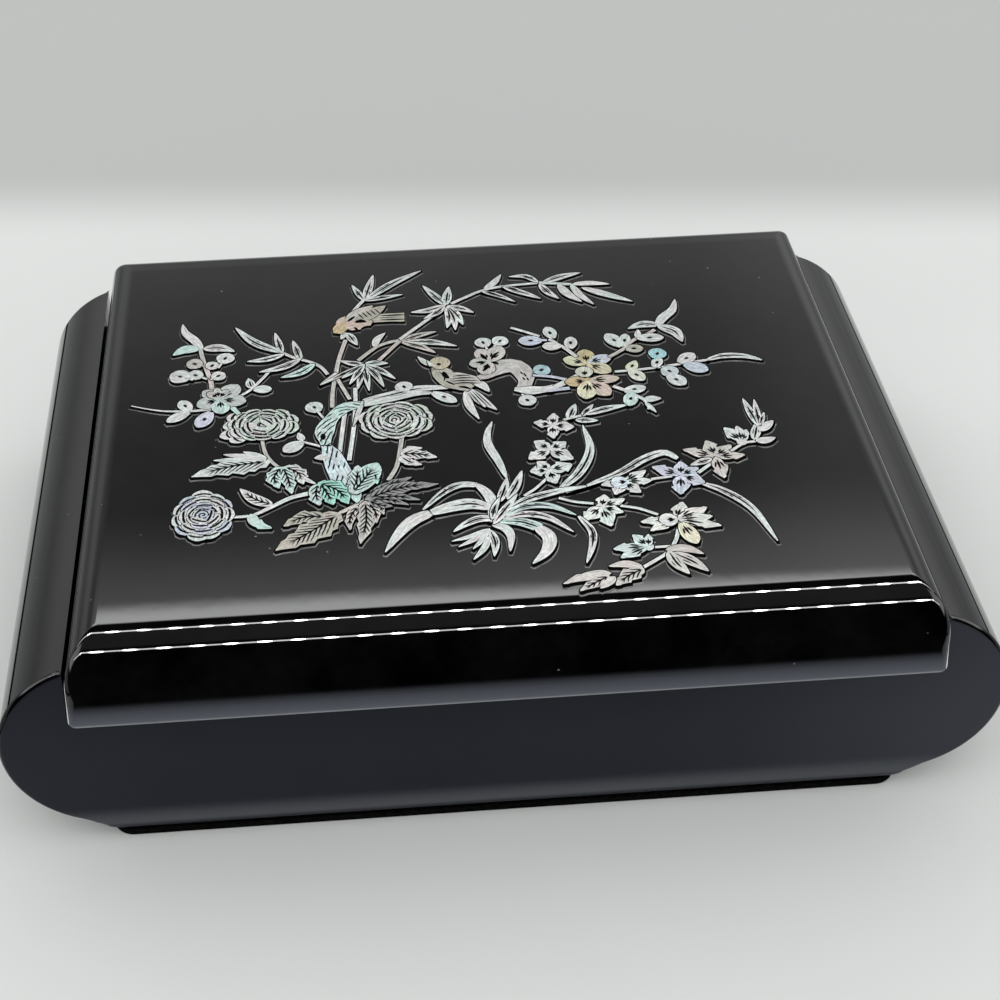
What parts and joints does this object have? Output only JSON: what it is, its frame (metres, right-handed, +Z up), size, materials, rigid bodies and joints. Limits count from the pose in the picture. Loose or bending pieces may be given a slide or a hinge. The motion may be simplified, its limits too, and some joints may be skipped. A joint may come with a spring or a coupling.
{
  "type": "lacquer jewelry box",
  "caption": "Low lacquered jewelry box with half-round ends, a hinged slab lid with rolled edges and shell inlay, and a velvet-lined inside with ring rolls, bays and a mirror.",
  "frame": {"origin": "middle of the footprint, on the table", "axes": "+X to the right seen from the front, +Y to the back where the hinges are, +Z up"},
  "size_m": [0.27, 0.19, 0.0733],
  "materials": {
    "satin_lacquer": "black-blue satin lacquer on wood",
    "gloss_lacquer": "deep black gloss lacquer on wood",
    "velvet": "wine red velvet on board",
    "padded_velvet": "wine red velvet over foam",
    "felt": "black wool felt over a thin board",
    "mirror": "silvered glass",
    "shell": "polished iridescent mother-of-pearl",
    "brass": "polished brass"
  },
  "bodies": {
    "case": {"front_panel": "satin_lacquer", "back_panel": "satin_lacquer", "bottom_board": "satin_lacquer", "left_end_moulding": "gloss_lacquer", "right_end_moulding": "gloss_lacquer", "base_pad": "felt", "lining_floor": "velvet", "lining_left": "velvet", "lining_right": "velvet", "lining_front": "velvet", "lining_back": "velvet", "divider_long": "velvet", "divider_front": "velvet", "divider_back_left": "velvet", "divider_back_right": "velvet", "ring_roll_1": "padded_velvet", "ring_roll_2": "padded_velvet", "ring_roll_3": "padded_velvet", "ring_roll_4": "padded_velvet", "ring_roll_5": "padded_velvet", "ring_roll_6": "padded_velvet", "hinge_left_case_leaf": "brass", "hinge_left_pin": "brass", "hinge_left_case_screw_outer": "brass", "hinge_left_case_screw_inner": "brass", "hinge_right_case_leaf": "brass", "hinge_right_pin": "brass", "hinge_right_case_screw_outer": "brass", "hinge_right_case_screw_inner": "brass"},
    "lid": {"lid_board": "gloss_lacquer", "lid_front_rail": "gloss_lacquer", "lid_back_rail": "gloss_lacquer", "lid_left_rail": "gloss_lacquer", "lid_right_rail": "gloss_lacquer", "mirror_frame": "gloss_lacquer", "lid_lining": "velvet", "mirror_glass": "mirror", "hinge_left_lid_leaf": "brass", "hinge_left_lid_screw_outer": "brass", "hinge_left_lid_screw_inner": "brass", "hinge_right_lid_leaf": "brass", "hinge_right_lid_screw_outer": "brass", "hinge_right_lid_screw_inner": "brass", "inlay_peony_left": "shell", "inlay_peony_right": "shell", "inlay_peony_low": "shell", "inlay_bird_upper": "shell", "inlay_bird_lower": "shell", "inlay_rock_and_bamboo": "shell", "inlay_low_leaves": "shell", "inlay_plum_left": "shell", "inlay_plum_right": "shell", "inlay_orchid": "shell", "inlay_spray_right": "shell", "inlay_spray_low": "shell"}
  },
  "joints": [
    {"name": "lid_hinge", "type": "hinge", "parent": "case", "child": "lid", "pos_m": [0, 0.0885, 0.048], "axis": [-1, 0, 0], "range_deg": [0, 98]}
  ]
}
